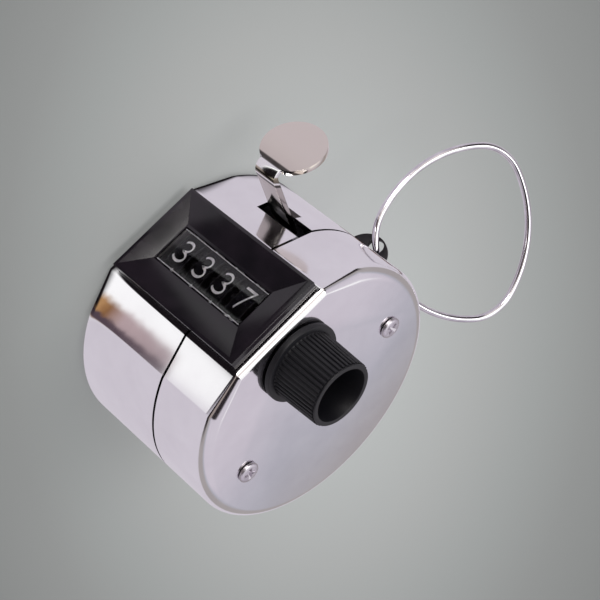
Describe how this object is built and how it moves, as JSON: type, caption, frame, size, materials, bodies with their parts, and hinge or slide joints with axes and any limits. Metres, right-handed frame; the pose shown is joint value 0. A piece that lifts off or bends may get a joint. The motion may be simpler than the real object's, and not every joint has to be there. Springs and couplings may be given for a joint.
{
  "type": "tally counter",
  "caption": "Round pressed-steel hand tally counter with a windowed number train, thumb lever, side reset knob and wire finger ring.",
  "frame": {"origin": "middle of the flat rear face, on the drum's axis", "axes": "+Z along the drum axis from the rear face to the reset knob, -Y out through the number window, -X up, the way the digits stand"},
  "size_m": [0.0763, 0.0531, 0.0388],
  "materials": {
    "chrome_plated_steel": "polished chrome plate on pressed steel",
    "nickel_plated_steel": "bright nickel plate, slightly warm",
    "zinc_plated_steel": "zinc plate, satin",
    "turned_brass": "turned, unpolished",
    "gloss_black_plastic": "moulded, glossy black",
    "matt_black_plastic": "moulded, dull black",
    "black_oxide_steel": "blackened sheet steel, satin",
    "clear_acrylic": "clear moulded sheet"
  },
  "bodies": {
    "frame": {"rear_case": "chrome_plated_steel", "front_case": "chrome_plated_steel", "window_bezel": "gloss_black_plastic", "window_lens": "clear_acrylic", "rear_plate": "zinc_plated_steel", "front_plate": "zinc_plated_steel", "low_post": "turned_brass", "high_post": "turned_brass", "low_screw": "chrome_plated_steel", "high_screw": "chrome_plated_steel", "shaft_bush": "turned_brass", "pinion_shaft": "zinc_plated_steel", "lever_pin": "zinc_plated_steel", "detent_spring": "zinc_plated_steel", "detent_post": "zinc_plated_steel", "ring_bracket": "black_oxide_steel"},
    "lever": {"thumb_lever": "nickel_plated_steel", "lever_rocker": "zinc_plated_steel", "pawl_pin": "zinc_plated_steel", "pawl_spring": "zinc_plated_steel", "return_spring": "zinc_plated_steel"},
    "pawl": {"drive_pawl": "zinc_plated_steel"},
    "units": {"units_wheel": "matt_black_plastic", "ratchet_wheel": "zinc_plated_steel"},
    "tens": {"tens_wheel": "matt_black_plastic"},
    "hundreds": {"hundreds_wheel": "matt_black_plastic"},
    "thousands": {"thousands_wheel": "matt_black_plastic"},
    "units_carry": {"units_pinion": "turned_brass"},
    "tens_carry": {"tens_pinion": "turned_brass"},
    "hundreds_carry": {"hundreds_pinion": "turned_brass"},
    "reset": {"reset_shaft": "zinc_plated_steel", "reset_knob": "matt_black_plastic", "shaft_clip": "zinc_plated_steel"},
    "ring": {"finger_ring": "chrome_plated_steel"}
  },
  "joints": [
    {"name": "lever_press", "type": "hinge", "parent": "frame", "child": "lever", "pos_m": [0.009, -0.0159, 0.012], "axis": [0, 0, -1], "range_deg": [0, 8], "stiffness_Nm_per_rad": 0.12},
    {"name": "pawl_pivot", "type": "hinge", "parent": "lever", "child": "pawl", "pos_m": [-0.0068, -0.0159, 0.0235], "axis": [0, 0, 1], "range_deg": [0, 12], "stiffness_Nm_per_rad": 0.002},
    {"name": "units_turn", "type": "hinge", "parent": "frame", "child": "units", "pos_m": [0, -0.01277, 0.02111], "axis": [0, 0, 1], "continuous": true},
    {"name": "tens_turn", "type": "hinge", "parent": "frame", "child": "tens", "pos_m": [0, -0.01277, 0.01671], "axis": [0, 0, 1], "continuous": true},
    {"name": "hundreds_turn", "type": "hinge", "parent": "frame", "child": "hundreds", "pos_m": [0, -0.01277, 0.01231], "axis": [0, 0, 1], "continuous": true},
    {"name": "thousands_turn", "type": "hinge", "parent": "frame", "child": "thousands", "pos_m": [0, -0.01277, 0.00791], "axis": [0, 0, 1], "continuous": true},
    {"name": "units_carry_turn", "type": "hinge", "parent": "frame", "child": "units_carry", "pos_m": [0, -0.00409, 0.01891], "axis": [0, 0, 1], "continuous": true},
    {"name": "tens_carry_turn", "type": "hinge", "parent": "frame", "child": "tens_carry", "pos_m": [0, -0.00409, 0.01451], "axis": [0, 0, 1], "continuous": true},
    {"name": "hundreds_carry_turn", "type": "hinge", "parent": "frame", "child": "hundreds_carry", "pos_m": [0, -0.00409, 0.01011], "axis": [0, 0, 1], "continuous": true},
    {"name": "reset_turn", "type": "hinge", "parent": "frame", "child": "reset", "pos_m": [0, -0.01277, 0.0344], "axis": [0, 0, 1], "continuous": true},
    {"name": "ring_swing", "type": "hinge", "parent": "frame", "child": "ring", "pos_m": [-0.02572, 0.0053, 0.01473], "axis": [0.4983, 0.7264, 0.4733], "range_deg": [-40, 60]}
  ],
  "couplings": [
    {"joint": "tens_turn", "follows": "units_turn", "ratio": 0.1},
    {"joint": "hundreds_turn", "follows": "units_turn", "ratio": 0.01},
    {"joint": "thousands_turn", "follows": "units_turn", "ratio": 0.001},
    {"joint": "units_carry_turn", "follows": "units_turn", "ratio": -0.25},
    {"joint": "tens_carry_turn", "follows": "units_turn", "ratio": -0.025},
    {"joint": "hundreds_carry_turn", "follows": "units_turn", "ratio": -0.0025}
  ]
}
